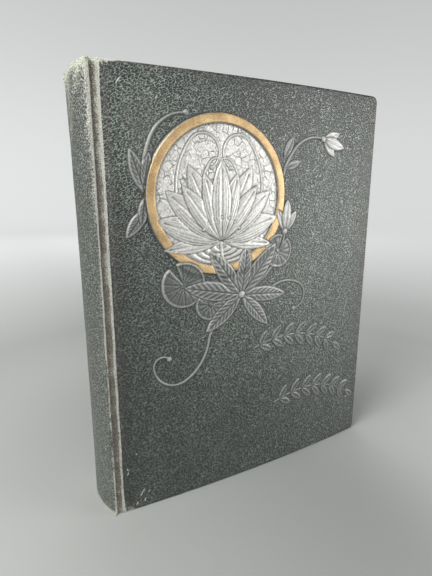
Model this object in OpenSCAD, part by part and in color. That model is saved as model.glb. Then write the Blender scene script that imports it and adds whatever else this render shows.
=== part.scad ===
// Postcard album of about 1900, closed and standing on its tail edge. Millimetres, +Z up. The spine is at -X, the
// fore edge at +X, the front cover at -Y and the back cover at +Y. The origin is on the surface that the album
// stands on, midway between the back of the spine and the fore edge, and midway between the covers.
// A place on a cover is given as [u, z]: u from the crest of the rib beside its joint, z from the tail edge.
// A depth is measured inwards from the outer face of a cover or of the spine.

/* [Album] */
// Height of the covers
album_h = 280; // [260:1:300]
// Cover width, from the rib beside the joint to the fore edge
cover_w = 213; // [200:1:230]
// Thickness across both covers at the joints
album_t = 45; // [40:0.5:54]
// How far each cover bows outwards in its middle
cover_bow = 4.3; // [2:0.1:7]
// Radius of the covers' fore-edge corners
corner_r = 5; // [2:0.5:10]

/* [Covers] */
// Thickness of the leather on the covers
leather_t = 1; // [0.7:0.1:1.4]
// Thickness of the millboard
board_t = 2.6; // [2:0.1:3.4]
// Thickness of the pastedown, and of the leather turned in round it
pastedown_t = 0.6; // [0.3:0.1:0.9]
// Width of the leather that shows round the pastedown
turn_in_w = 4; // [2:0.5:8]

/* [Joints] */
// Width of a joint, from the crest of one rib to the crest of the other
joint_w = 6.5; // [6:0.1:9]
// Radius of the ribs
rib_r = 1.2; // [0.9:0.1:1.5]
// Depth of the groove between the ribs
groove_depth = 1.6; // [1.2:0.1:2.2]
// Thickness of the leather in the groove
groove_t = 0.8; // [0.5:0.1:1]
// Gap between the groove's leather and the cover that swings past it
groove_gap = 0.6; // [0.5:0.1:1]

/* [Spine] */
// How far the spine bulges behind the ribs
spine_round = 5; // [3:0.25:8]
// Thickness of the spine's leather
spine_leather_t = 1.1; // [0.8:0.1:1.5]
// Thickness of the card that keeps the spine round
spine_board_t = 1; // [0.6:0.1:1.5]
// Gap between that card and the lined backs of the stubs
hollow_gap = 0.6; // [0.3:0.1:0.9]
// Thickness of the paper lining
paper_lining_t = 0.3; // [0.2:0.05:0.5]
// Thickness of the mull under the paper
mull_t = 0.4; // [0.2:0.05:0.6]
// Thickness of the sewing tapes
tape_t = 0.5; // [0.4:0.05:0.8]
// Width of a sewing tape
tape_w = 14; // [10:1:20]
// Number of sewing tapes
tape_count = 4; // [3:1:5]
// Thickness of the sewing thread, pressed flat
thread_d = 0.4; // [0.3:0.05:0.4]
// Width of the sewing thread, pressed flat
thread_w = 0.8; // [0.5:0.1:1.2]

/* [Leaves] */
// Number of leaves, half of them hung towards each cover
leaf_count = 20; // [12:2:20]
// Thickness of a leaf's card
card_t = 0.7; // [0.4:0.05:0.8]
// Thickness of a linen guard
guard_t = 0.25; // [0.15:0.05:0.3]
// Width of a guard's free part, which the leaf turns on
guard_free_w = 7; // [6:0.5:10]
// Width of a guard's glued part, on the leaf
guard_glued_w = 8; // [5:0.5:12]
// Width of the stubs at the middle of the spine
stub_w = 15; // [13:0.5:20]
// Gap between neighbouring stubs, filled by the folded guards
stub_gap = 0.1; // [0.05:0.05:0.3]
// Thickness of a flyleaf
flyleaf_t = 0.25; // [0.15:0.05:0.3]
// How far the covers project past the leaves
square_w = 3; // [2:0.5:6]
// Clearance between sheets that turn past each other
turn_gap = 0.25; // [0.2:0.05:0.4]

/* [Card slits] */
// Length of the postcards that the slits hold
postcard_l = 140; // [135:1:150]
// Width of the postcards
postcard_w = 90; // [85:1:95]
// Length of a slit
slit_l = 16; // [10:1:20]
// Width of a slit
slit_w = 0.6; // [0.4:0.1:1]
// Space between the two cards at the foot of a leaf
postcard_gap = 6; // [4:1:12]

/* [Relief] */
// Outer radius of the raised band that carries the gilt ring
ring_r = 50; // [44:0.5:54]
// Width of that band
ring_w = 6; // [4:0.2:8]
// Height of that band above the leather
ring_h = 1.2; // [0.6:0.1:1.8]
// Leather left bare on each side of the gilding
gilt_margin = 0.3; // [0.2:0.1:1]
// Thickness of the gilding's size and gold
gilt_t = 0.2; // [0.1:0.05:0.4]
// Distance of the ring's centre from the rib beside the joint
ring_u = 72; // [60:1:90]
// Distance of the ring's centre from the head edge
ring_drop = 72.4; // [56:0.2:80]
// Height of the ground inside the ring
ground_h = 0.5; // [0.3:0.1:1]
// Height of the stems, the leaves and the outer petals
leaf_h = 1; // [0.6:0.1:1.5]
// Height of the front petals
petal_h = 1.7; // [1:0.1:2.2]
// Width of the stems
stem_w = 2.2; // [1.4:0.2:4]
// Width of the sprigs' stems
sprig_stem_w = 1.2; // [0.8:0.1:2]
// Length of the laurel sprigs
sprig_l = 80; // [60:1:90]
// Distance from the tips of the sprigs to the fore edge
sprig_margin = 14; // [8:1:30]

/* [Hidden] */
$fn = 96;
BOW_FN = 720;
EPS = 0.01;
LEAF_NUMBERS = [for (n = [1:leaf_count]) str(n < 10 ? "0" : "", n)];

cover_t = leather_t + board_t + pastedown_t;
total_w = spine_round + joint_w + cover_w;
spine_x = -total_w / 2;
outer_rib_x = spine_x + spine_round;
cover_x = outer_rib_x + joint_w;
fore_x = cover_x + cover_w;
cover_mid_x = (cover_x + fore_x) / 2;
front_y = -album_t / 2;

// Each cover is part of a long cylinder, and so is the spine
bow_r = (cover_w * cover_w / 4 + cover_bow * cover_bow) / (2 * cover_bow);
bow_y = front_y - cover_bow + bow_r;
spine_r = (album_t * album_t / 4 + spine_round * spine_round) / (2 * spine_round);
spine_cx = spine_x + spine_r;

// The covers start just inside the rib's crest, so that the rib stands over their edge
rib_inset = 0.75 * rib_r;
groove_end_x = cover_x - rib_r - groove_gap;

board_depth = spine_leather_t;
lining_depth = board_depth + spine_board_t + hollow_gap;
mull_depth = lining_depth + paper_lining_t;
tape_depth = mull_depth + mull_t;
stub_depth = tape_depth + tape_t;
stub_front_x = spine_x + stub_depth + stub_w;
pivot_x = stub_front_x + turn_gap;

flyleaf_depth = cover_t + turn_gap;
flyleaf_x = cover_x + rib_inset;
stack_depth = flyleaf_depth + flyleaf_t + turn_gap;
stack_t = album_t - 2 * stack_depth;
pitch = stack_t / leaf_count;
leaf_fore_x = fore_x - square_w;
card_x = pivot_x + guard_free_w;
card_mid_x = (card_x + leaf_fore_x) / 2;
leaf_z = square_w;
leaf_h_total = album_h - 2 * square_w;
card_space = (leaf_h_total - postcard_w - postcard_l) / 3;

ring_c = [ring_u, album_h - ring_drop];

function leaf_y(i) = front_y + stack_depth + (i + 0.5) * pitch;
function is_front(i) = i < leaf_count / 2;

// A wall of the front cover between two depths, inside the outline that its children draw in [u, z]
module bowed(depth_0, depth_1) {
    intersection() {
        difference() {
            translate([cover_mid_x, bow_y, -1])
                cylinder(h = album_h + 2, r = bow_r - depth_0, $fn = BOW_FN);
            translate([cover_mid_x, bow_y, -2])
                cylinder(h = album_h + 4, r = bow_r - depth_1, $fn = BOW_FN);
        }
        translate([cover_x, front_y + 2 * cover_t, 0])
            rotate([90, 0, 0])
                linear_extrude(cover_bow + 4 * cover_t)
                    children();
    }
}

// A wall of the spine between two depths, over a stretch of Y and of Z
module rounded(depth_0, depth_1, half_y, z_0, z_1) {
    intersection() {
        difference() {
            translate([spine_cx, 0, z_0])
                cylinder(h = z_1 - z_0, r = spine_r - depth_0, $fn = BOW_FN);
            translate([spine_cx, 0, z_0 - 1])
                cylinder(h = z_1 - z_0 + 2, r = spine_r - depth_1, $fn = BOW_FN);
        }
        translate([spine_x - 1, -half_y, z_0])
            cube([spine_round + stub_depth + 1, 2 * half_y, z_1 - z_0]);
    }
}

module to_back() {
    mirror([0, 1, 0]) children();
}

// Outline of a cover, drawn in by a margin at the head, the tail and the fore edge, with round fore-edge corners
module cover_outline(margin) {
    r = max(corner_r - margin, 0.5);
    u_0 = -rib_inset;
    u_1 = cover_w - margin;
    z_1 = album_h - margin;
    union() {
        translate([u_0, margin])
            square([u_1 - r - u_0, z_1 - margin]);
        translate([u_1 - 2 * r, margin + r])
            square([2 * r, z_1 - margin - 2 * r]);
        for (z = [margin + r, z_1 - r])
            translate([u_1 - r, z])
                circle(r);
    }
}

// Outlines of the relief

// A leaf or petal that grows from the origin along the second axis, between two equal arcs
module blade(length, width) {
    r = (length * length + width * width) / (4 * width);
    steps = 8;
    side = [for (k = [0:steps]) let (z = length * k / steps)
        [sqrt(r * r - (z - length / 2) * (z - length / 2)) - (r - width / 2), z]];
    polygon(concat(side, [for (k = [steps - 1:-1:1]) [-side[k][0], side[k][1]]]));
}

// A ring given by its middle radius
module band(r, width) {
    difference() {
        circle(r + width / 2);
        circle(r - width / 2);
    }
}

// How far a stem's outline may stray from a true arc
ARC_SAG = 0.05;

// One side of a stem of arcs that run on from one another, each given as its radius and how far it turns, left if
// positive. The side lies at an offset to the left of the stem's middle.
function stem_side(start, heading, arcs, offset, k = 0) =
    k == len(arcs) ? [start + offset * [-sin(heading), cos(heading)]] :
    let (r = arcs[k][0], turn = arcs[k][1], way = sign(turn), steps = ceil(abs(turn) / acos(1 - ARC_SAG / r) / 2),
         centre = start + r * way * [-sin(heading), cos(heading)], first = heading - 90 * way)
    concat([for (j = [0:steps - 1]) let (a = first + turn * j / steps)
                centre + (r - way * offset) * [cos(a), sin(a)]],
           stem_side(centre + r * [cos(first + turn), sin(first + turn)], heading + turn, arcs, offset, k + 1));

function reversed(list) = [for (k = [len(list) - 1:-1:0]) list[k]];

function stem_end(stem) = let (side = stem_side(stem[0], stem[1], stem[2], 0)) side[len(side) - 1];

module stem(stem, width) {
    polygon(concat(stem_side(stem[0], stem[1], stem[2], width / 2),
                   reversed(stem_side(stem[0], stem[1], stem[2], -width / 2))));
}

// Places of the relief, measured from the ring's centre, and directions, measured from the first axis
LILY_FOOT = [0, -28];
SPRAY_FOOT = [16, -66];
BUD_STEM = [SPRAY_FOOT, 20, [[60, 35], [40, 30]]];
UPPER_STEM = [[49, 14], 75, [[40, -30], [26, -60]]];
PLAIN_STEMS = [
    [LILY_FOOT, -90, [[60, 22], [50, 22]]],
    [SPRAY_FOOT, 200, [[40, 60], [34, -50], [15, -120], [6, -140]]],
    [SPRAY_FOOT, -20, [[30, 50], [26, -60], [10, -150]]],
    [[-51, 4], 95, [[60, -30], [24, -66]]]];
SPRAY = [[168, 44, 13], [128, 40, 12], [-140, 36, 11], [50, 44, 13], [84, 34, 11], [-5, 38, 11], [-48, 34, 10]];
OUTER_PETALS = [[-6, 40, 10], [18, 46, 16], [40, 49, 16], [64, 52, 16]];
FRONT_PETALS = [[52, 44, 12], [74, 44, 12]];
MIDDLE_PETAL = [90, 50, 14];
foot_r = 3;

// A bud is an open pair of petals, each at this angle to its heading, under one closed petal
BUDS = [[BUD_STEM, 85], [UPPER_STEM, -15]];
OPEN_PETAL = [17, 6.5];
CLOSED_PETAL = [22, 8];
open_angle = 30;

// The sprigs' leaves, and for each sprig its tip's distance from the outermost tip and its height
SPRIG_PLACES = [[20, 100], [0, 52]];
SPRIG_LEAF = [14, 5.4];
sprig_pairs = 7;
sprig_leaf_angle = 42;
sprig_taper = 0.5;
sprig_bend = 1.1;
sprig_tilt = -8;

module blades(foot, list) {
    translate(foot) {
        circle(foot_r);
        for (b = list)
            rotate(b[0] - 90) blade(b[1], b[2]);
    }
}

// The same petals on both sides of the lily's middle
function both_sides(list) = concat(list, [for (b = list) [180 - b[0], b[1], b[2]]]);

module bud(foot, heading, open) {
    petal = open ? OPEN_PETAL : CLOSED_PETAL;
    translate(foot) {
        circle(stem_w);
        for (s = open ? [-1, 1] : [0])
            rotate(heading + open_angle * s - 90) blade(petal[0], petal[1]);
    }
}

module ground() {
    circle(ring_r - ring_w / 2);
}

module stems() {
    for (s = concat(PLAIN_STEMS, [BUD_STEM, UPPER_STEM]))
        stem(s, stem_w);
}

module buds(open) {
    for (b = BUDS)
        bud(stem_end(b[0]), b[1], open);
}

// A laurel sprig on a slow curve, with pairs of leaves and one at its tip
module sprig(length) {
    bend_r = sprig_bend * length;
    half = asin(length / (2 * bend_r));
    stem([[0, 0], half, [[bend_r, -2 * half]]], sprig_stem_w);
    translate([length / 2, -bend_r * cos(half)])
        for (k = [0:sprig_pairs]) {
            a = 90 + half - 2 * half * (k + 0.5) / (sprig_pairs + 0.5);
            leaf_l = SPRIG_LEAF[0] - sprig_taper * abs(k - floor(sprig_pairs / 2));
            for (s = k == sprig_pairs ? [0] : [-1, 1])
                translate(bend_r * [cos(a), sin(a)])
                    rotate(a - 180 + s * sprig_leaf_angle)
                        translate([0, -sprig_stem_w / 2]) blade(leaf_l, SPRIG_LEAF[1]);
        }
}

module sprigs() {
    tip_u = cover_w - sprig_margin;
    for (place = SPRIG_PLACES)
        translate([tip_u - place[0] - sprig_l, place[1]]) rotate(sprig_tilt) sprig(sprig_l);
}

// Front cover

module front_board() {
    color("tan")
        bowed(leather_t, leather_t + board_t) cover_outline(leather_t);
}

module cover_wrap() {
    difference() {
        union() {
            bowed(0, cover_t) cover_outline(0);
            translate([cover_x, front_y + rib_r, 0])
                cylinder(h = album_h, r = rib_r);
        }
        bowed(leather_t, leather_t + board_t) cover_outline(leather_t);
        bowed(leather_t + board_t - EPS, cover_t + 2) cover_outline(turn_in_w);
    }
}

module front_cover_leather() {
    color("darkslategray")
        union() {
            cover_wrap();
            bowed(-ground_h, leather_t / 2)
                translate(ring_c) ground();
            bowed(-leaf_h, leather_t / 2)
                union() {
                    translate(ring_c) {
                        stems();
                        blades(SPRAY_FOOT, SPRAY);
                        blades(LILY_FOOT, both_sides(OUTER_PETALS));
                        buds(open = true);
                    }
                    sprigs();
                }
            bowed(-petal_h, leather_t / 2)
                translate(ring_c) {
                    blades(LILY_FOOT, concat([MIDDLE_PETAL], both_sides(FRONT_PETALS)));
                    buds(open = false);
                }
            bowed(-ring_h, leather_t / 2)
                translate(ring_c) band(ring_r - ring_w / 2, ring_w);
        }
}

module gilt_ring() {
    color("goldenrod")
        bowed(-ring_h - gilt_t, -ring_h)
            translate(ring_c)
                band(ring_r - ring_w / 2, ring_w - 2 * gilt_margin);
}

module front_pastedown() {
    color("wheat")
        bowed(leather_t + board_t, cover_t) cover_outline(turn_in_w);
}

// Back cover

module back_board() {
    to_back() front_board();
}

module back_cover_leather() {
    color("darkslategray") to_back() cover_wrap();
}

module back_pastedown() {
    to_back() front_pastedown();
}

// Spine

module spine_rib() {
    translate([outer_rib_x, front_y + rib_r, 0])
        cylinder(h = album_h, r = rib_r);
    translate([outer_rib_x - rib_r, front_y + rib_r, 0])
        cube([2 * rib_r, groove_depth + groove_t - rib_r, album_h]);
}

module spine_leather() {
    color("dimgray")
        union() {
            rounded(0, spine_leather_t, album_t / 2 - rib_r, 0, album_h);
            spine_rib();
            to_back() spine_rib();
        }
}

module front_joint_leather() {
    color("gray")
        translate([outer_rib_x + rib_r, front_y + groove_depth, 0])
            cube([groove_end_x - outer_rib_x - rib_r, groove_t, album_h]);
}

module back_joint_leather() {
    to_back() front_joint_leather();
}

module spine_board() {
    margin = 1;
    color("tan")
        rounded(board_depth, board_depth + spine_board_t, album_t / 2 - cover_t, margin, album_h - margin);
}

module spine_paper_lining() {
    color("burlywood")
        rounded(lining_depth, mull_depth, stack_t / 2, leaf_z, album_h - leaf_z);
}

module spine_mull() {
    margin = 10;
    color("ivory")
        rounded(mull_depth, tape_depth, stack_t / 2, margin, album_h - margin);
}

function tape_z(k) = leaf_z + leaf_h_total * (k + 1) / (tape_count + 1);

module sewing_tapes() {
    color("linen")
        for (k = [0:tape_count - 1])
            rounded(tape_depth, stub_depth, stack_t / 2, tape_z(k) - tape_w / 2, tape_z(k) + tape_w / 2);
}

// The thread is pressed flat under the mull
module thread_run(z) {
    rounded(stub_depth - thread_d, stub_depth, (stack_t - pitch) / 2, z - thread_w / 2, z + thread_w / 2);
}

module sewing_thread() {
    kettle = 14;
    beside = tape_w / 2 + 1;
    color("white") {
        for (k = [0:tape_count - 1], s = [-1, 1])
            thread_run(tape_z(k) + s * beside);
        for (z = [leaf_z + kettle, album_h - leaf_z - kettle])
            thread_run(z);
    }
}

module guard_stubs() {
    color("gainsboro")
        for (i = [0:leaf_count - 1])
            intersection() {
                translate([spine_cx, 0, leaf_z])
                    cylinder(h = leaf_h_total, r = spine_r - stub_depth, $fn = BOW_FN);
                translate([spine_x, leaf_y(i) - (pitch - stub_gap) / 2, leaf_z])
                    cube([stub_front_x - spine_x, pitch - stub_gap, leaf_h_total]);
            }
}

// Leaves, counted from the front cover

module front_flyleaf() {
    color("oldlace")
        translate([flyleaf_x, front_y + flyleaf_depth, leaf_z])
            cube([leaf_fore_x - flyleaf_x, flyleaf_t, leaf_h_total]);
}

module back_flyleaf() {
    to_back() front_flyleaf();
}

module corner_slits(mid_x, mid_z, width, height) {
    in = slit_l / (2 * sqrt(2));
    for (sx = [-1, 1], sz = [-1, 1])
        translate([mid_x + sx * (width / 2 - in), 0, mid_z + sz * (height / 2 - in)])
            rotate([0, sx * sz * 45, 0])
                cube([slit_l, 4 * card_t, slit_w], center = true);
}

// A front leaf's card lies on the side of its guard that faces the middle of the album
module leaf_card(i) {
    foot_z = leaf_z + card_space + postcard_l / 2;
    head_z = leaf_z + leaf_h_total - card_space - postcard_w / 2;
    column = (postcard_w + postcard_gap) / 2;
    color("darkseagreen")
        translate([0, leaf_y(i), 0])
            difference() {
                translate([card_x, guard_t / 2, leaf_z])
                    cube([leaf_fore_x - card_x, card_t, leaf_h_total]);
                corner_slits(card_mid_x, head_z, postcard_l, postcard_w);
                for (s = [-1, 1])
                    corner_slits(card_mid_x + s * column, foot_z, postcard_w, postcard_l);
            }
}

module leaf_guard(i) {
    color("beige")
        translate([pivot_x, leaf_y(i) - guard_t / 2, leaf_z])
            cube([guard_free_w + guard_glued_w, guard_t, leaf_h_total]);
}

module leaf(i) {
    if (is_front(i)) leaf_card(i);
    else to_back() leaf_card(leaf_count - 1 - i);
}

spine_leather();
front_joint_leather();
back_joint_leather();
spine_board();
spine_paper_lining();
spine_mull();
sewing_tapes();
sewing_thread();
guard_stubs();
front_board();
front_cover_leather();
gilt_ring();
front_pastedown();
back_board();
back_cover_leather();
back_pastedown();
front_flyleaf();
back_flyleaf();
for (i = [0:leaf_count - 1]) {
    leaf(i);
    leaf_guard(i);
}
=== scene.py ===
import math
from contextlib import contextmanager

import bpy
import numpy as np
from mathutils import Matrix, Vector


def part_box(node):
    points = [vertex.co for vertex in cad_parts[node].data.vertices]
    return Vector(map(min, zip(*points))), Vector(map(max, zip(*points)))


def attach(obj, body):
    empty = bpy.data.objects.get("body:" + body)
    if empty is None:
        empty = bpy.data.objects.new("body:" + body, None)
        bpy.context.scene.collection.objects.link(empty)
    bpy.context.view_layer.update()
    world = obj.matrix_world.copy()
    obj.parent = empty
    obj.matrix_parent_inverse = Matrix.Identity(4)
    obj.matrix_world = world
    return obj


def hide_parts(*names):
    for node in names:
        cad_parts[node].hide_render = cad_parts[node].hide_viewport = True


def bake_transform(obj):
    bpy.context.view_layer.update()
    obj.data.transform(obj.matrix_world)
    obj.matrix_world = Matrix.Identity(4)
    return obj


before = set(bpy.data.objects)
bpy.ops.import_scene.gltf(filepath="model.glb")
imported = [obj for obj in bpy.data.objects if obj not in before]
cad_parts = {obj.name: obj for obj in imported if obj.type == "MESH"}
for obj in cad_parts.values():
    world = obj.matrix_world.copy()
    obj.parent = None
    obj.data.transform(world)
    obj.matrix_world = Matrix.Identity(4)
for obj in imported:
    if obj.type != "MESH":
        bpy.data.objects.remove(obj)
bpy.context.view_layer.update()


# Inside the spine: the block of card stubs, the thread that holds them, tapes, mull and a paper lining, and
# behind them the loose card that keeps the spine round. All are glued or sewn together on the bench. Their
# shapes are the frame's own, so only their finishes are made here.

MM = 0.001


def feed(node, inputs):
    """Sets a node's inputs, or links those that are given another node's output."""
    for name, value in inputs.items():
        socket = node.inputs[name]
        if isinstance(value, bpy.types.NodeSocket):
            node.id_data.links.new(value, socket)
        else:
            socket.default_value = (*value, 1) if socket.type == "RGBA" and len(value) == 3 else value


def add_node(tree, kind, inputs=None, **settings):
    """A node with its settings and inputs."""
    node = tree.nodes.new(kind)
    for name, value in settings.items():
        setattr(node, name, value)
    feed(node, inputs or {})
    return node


def new_group(name, inputs, outputs):
    """A shader group with named sockets: its tree, what it is given, and the node that takes its results."""
    tree = bpy.data.node_groups.new(name, "ShaderNodeTree")
    for title, value in inputs.items():
        kind = "NodeSocketVector" if value is None else "NodeSocketFloat"
        socket = tree.interface.new_socket(title, in_out="INPUT", socket_type=kind)
        if value is not None:
            socket.default_value = value
    for title in outputs:
        tree.interface.new_socket(title, in_out="OUTPUT", socket_type="NodeSocketFloat")
    return tree, tree.nodes.new("NodeGroupInput").outputs, tree.nodes.new("NodeGroupOutput")


def new_material(name, constants):
    """A material and its shader, whose sockets that stay the same all over are set here."""
    material = bpy.data.materials.new(name)
    material.use_nodes = True
    shader = material.node_tree.nodes["Principled BSDF"]
    feed(shader, constants)
    return shader, material


def calculate(operation, first, second=0.0, clamp=False):
    """A Math node's result, in the tree of whichever value comes from a node."""
    tree = next(value.id_data for value in (first, second) if isinstance(value, bpy.types.NodeSocket))
    inputs = {0: first, 1: second}
    return add_node(tree, "ShaderNodeMath", inputs, operation=operation, use_clamp=clamp).outputs[0]


def times(product, *factors):
    for factor in factors:
        product = calculate("MULTIPLY", product, factor)
    return product


def plus(total, *others):
    for other in others:
        total = calculate("ADD", total, other)
    return total


def minus(first, second):
    return calculate("SUBTRACT", first, second)


def mixed(share, first, second, blend="MIX"):
    """Two colours, mixed by the share of the second."""
    tree = next(value.id_data for value in (share, first) if isinstance(value, bpy.types.NodeSocket))
    inputs = {0: share, 6: first, 7: second}
    return add_node(tree, "ShaderNodeMix", inputs, data_type="RGBA", blend_type=blend).outputs[2]


def tinted(colour, tint):
    """A colour multiplied by a value or by another colour."""
    return mixed(1.0, colour, tint, "MULTIPLY")


def spread(value, low, high, to_low=0.0, to_high=1.0):
    """A value eased between two limits."""
    inputs = {"Value": value, "From Min": low, "From Max": high, "To Min": to_low, "To Max": to_high}
    node = add_node(value.id_data, "ShaderNodeMapRange", inputs, interpolation_type="SMOOTHSTEP")
    return node.outputs["Result"]


def noise(place, scale, detail=3.0, rough=0.55, output="Fac"):
    """Noise of a scale given in features to the metre."""
    inputs = {"Vector": place, "Scale": scale, "Detail": detail, "Roughness": rough}
    return add_node(place.id_data, "ShaderNodeTexNoise", inputs).outputs[output]


def object_place(shader):
    return add_node(shader.id_data, "ShaderNodeTexCoord").outputs["Object"]


def placed(group, place, **inputs):
    """The outputs of a shader group that is laid out over a place."""
    return add_node(place.id_data, "ShaderNodeGroup", {"Vector": place, **inputs}, node_tree=group).outputs


def bump(shader, height, depth):
    """Raises the shader's surface by a height from 0 to 1 times a depth in metres."""
    node = add_node(shader.id_data, "ShaderNodeBump", {"Height": height, "Distance": depth, "Strength": 1.0})
    feed(shader, {"Normal": node.outputs["Normal"]})


# Mottle is the cloudy tone of old paper, Fibre its short fibres, and Foxing its sparse brown spots
paper_group, given, result = new_group("paper_fibre", {"Vector": None, "Fibres": 2600.0},
                                       ("Mottle", "Fibre", "Foxing"))
place = given["Vector"]
stretched = add_node(paper_group, "ShaderNodeMapping", {"Vector": place, "Scale": (1.0, 1.0, 0.35)})
spots = add_node(paper_group, "ShaderNodeTexVoronoi", {"Vector": place, "Scale": 70.0})
few = spread(noise(place, 14.0, 2.0), 0.5, 0.62)
feed(result, {"Mottle": spread(noise(place, 28.0, 5.0, 0.6), 0.3, 0.7),
              "Fibre": noise(stretched.outputs["Vector"], given["Fibres"], 4.0, 0.5),
              "Foxing": times(spread(spots.outputs["Distance"], 0.22, 0.04), few)})
FOX_BROWN = (0.2, 0.11, 0.045)


def paper_material(name, light, dark, roughness, fibres=2600.0, foxed=0.35, depth=0.05 * MM):
    """Card, board or paper: cloudy, fibrous and a little foxed."""
    shader, material = new_material(name, {"Roughness": roughness})
    paper = placed(paper_group, object_place(shader), Fibres=fibres)
    flecked = tinted(mixed(paper["Mottle"], dark, light), spread(paper["Fibre"], 0.35, 0.7, 0.9, 1.06))
    feed(shader, {"Base Color": mixed(times(paper["Foxing"], foxed), flecked, FOX_BROWN)})
    bump(shader, paper["Fibre"], depth)
    return material


# Thread is the relief of a plain weave and Shade its dark gaps, in the two directions of a strip
weave_group, given, result = new_group("plain_weave", {"Vector": None, "Threads": 1200.0},
                                       ("Thread", "Shade"))
x, y, z = add_node(weave_group, "ShaderNodeSeparateXYZ", {0: given["Vector"]}).outputs
wander = times(noise(given["Vector"], 160.0, 2.0), 0.0012)
warp, weft = (calculate("ABSOLUTE", calculate("SINE", times(way, given["Threads"])))
              for way in (plus(x, y, wander), plus(z, wander)))
gap = calculate("MINIMUM", minus(1.0, warp), minus(1.0, weft))
feed(result, {"Thread": calculate("MAXIMUM", warp, weft), "Shade": spread(gap, 0.25, 0.75)})


def cloth_material(name, light, dark, threads, depth=0.08 * MM):
    """Woven cotton or linen: its threads, the dark gaps between them and a little soiling."""
    shader, material = new_material(name, {"Roughness": 0.9, "Sheen Weight": 0.15})
    place = object_place(shader)
    cloth = placed(weave_group, place, Threads=threads)
    soiled = mixed(spread(noise(place, 60.0, 4.0), 0.35, 0.75), light, dark)
    feed(shader, {"Base Color": mixed(times(cloth["Shade"], 0.6), soiled, [0.4 * part for part in dark])})
    bump(shader, cloth["Thread"], depth)
    return material


def dress(material, *nodes):
    """Gives CAD nodes a finish."""
    for name in nodes:
        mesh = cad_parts[name].data
        mesh.materials.clear()
        mesh.materials.append(material)


stub_card = paper_material("stub_card", (0.5, 0.47, 0.4), (0.36, 0.34, 0.28), 0.9)
lining_paper = paper_material("lining_paper", (0.5, 0.38, 0.23), (0.38, 0.28, 0.16), 0.85, foxed=0.2)
millboard = paper_material("millboard", (0.42, 0.35, 0.26), (0.3, 0.25, 0.18), 0.95, 1500.0, 0.2, 0.15 * MM)
dress(stub_card, "guard_stubs")
dress(lining_paper, "spine_paper_lining")
dress(millboard, "spine_board", "front_board", "back_board")
dress(cloth_material("mull", (0.8, 0.76, 0.65), (0.6, 0.54, 0.42), 2200.0, 0.2 * MM), "spine_mull")
dress(cloth_material("tape", (0.78, 0.73, 0.6), (0.6, 0.53, 0.4), 4200.0), "sewing_tapes")
dress(cloth_material("thread", (0.86, 0.82, 0.72), (0.68, 0.62, 0.5), 9000.0), "sewing_thread")


# Leaves: grey-green card with slits for the corners of three postcards, between boards lined with plain
# endpaper.

leaf_card = paper_material("leaf_card", (0.36, 0.41, 0.34), (0.27, 0.32, 0.26), 0.88, 2200.0, 0.25)
endpaper = paper_material("endpaper", (0.76, 0.71, 0.58), (0.62, 0.56, 0.43), 0.8, 2800.0, 0.6)
LEAVES = sorted(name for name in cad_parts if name.startswith("leaf_"))
dress(leaf_card, *LEAVES)
dress(endpaper, "front_pastedown", "back_pastedown")


# Linen guards: a strip folded into each stub and pasted on its leaf, which is all that the leaf turns on.
# The strip bends at the front of the stub.

guard_linen = cloth_material("linen", (0.74, 0.69, 0.57), (0.58, 0.52, 0.4), 3600.0)
GUARD_ANCHOR = 2.0 * MM
GUARD_STEPS = 24


def made(name, material):
    """Names the object that was just made, and gives it its finish."""
    piece = bpy.context.object
    piece.name = piece.data.name = name
    piece.data.materials.clear()
    piece.data.materials.append(material)
    return piece


def apply_modifier(piece, kind, **settings):
    bpy.context.view_layer.objects.active = piece
    modifier = piece.modifiers.new(kind.lower(), kind)
    for name, value in settings.items():
        setattr(modifier, name, value)
    bpy.ops.object.modifier_apply(modifier=modifier.name)


def places_of(mesh):
    flat = np.empty(len(mesh.vertices) * 3)
    mesh.vertices.foreach_get("co", flat)
    return flat.reshape(-1, 3)


def put_places(mesh, places):
    mesh.vertices.foreach_set("co", np.asarray(places, np.float32).ravel())
    mesh.update()


def new_grid(name, material, columns, rows):
    """A flat grid, and how far across and up it each of its points lies, from 0 to 1."""
    bpy.ops.mesh.primitive_grid_add(x_subdivisions=columns, y_subdivisions=rows, size=1.0)
    piece = made(name, material)
    across, up, _ = (places_of(piece.data) + 0.5).T
    return piece, across, up


def bent_strip(name, material, low, high, anchor, steps):
    """A sheet on edge in a node's place, begun an anchor's width before it, in steps that can bend."""
    piece, across, up = new_grid(name, material, steps, 2)
    x = low.x - anchor + (high.x - low.x + anchor) * across
    middle = np.full_like(x, (low.y + high.y) / 2)
    put_places(piece.data, np.stack([x, middle, low.z + (high.z - low.z) * up], axis=1))
    apply_modifier(piece, "SOLIDIFY", thickness=high.y - low.y, offset=0.0)
    return piece


for number in range(1, len(LEAVES) + 1):
    low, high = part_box(f"guard_{number:02d}")
    guard = bent_strip(f"linen_guard_{number:02d}", guard_linen, low, high, GUARD_ANCHOR,
                       GUARD_STEPS)
    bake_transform(guard)
    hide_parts(f"guard_{number:02d}")


# Flyleaves: a sheet of the endpaper at each end of the block, tipped on to it along the gutter. Held there,
# it bends over the first few centimetres when it turns.

FLYLEAF_STEPS = 160

for which in ("front", "back"):
    low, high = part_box(f"{which}_flyleaf")
    sheet = bent_strip(f"{which}_fly_sheet", endpaper, low, high, 0.0, FLYLEAF_STEPS)
    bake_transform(sheet)
    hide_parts(f"{which}_flyleaf")


# Relief of the front cover: a brass die presses a water lily in a ring, a spray of leaves, two buds on their
# stems, trailing stems with beads, and two laurel sprigs into the damp leather. It is drawn here as a map of
# heights, in millimetres, over the cover's width and height.

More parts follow.
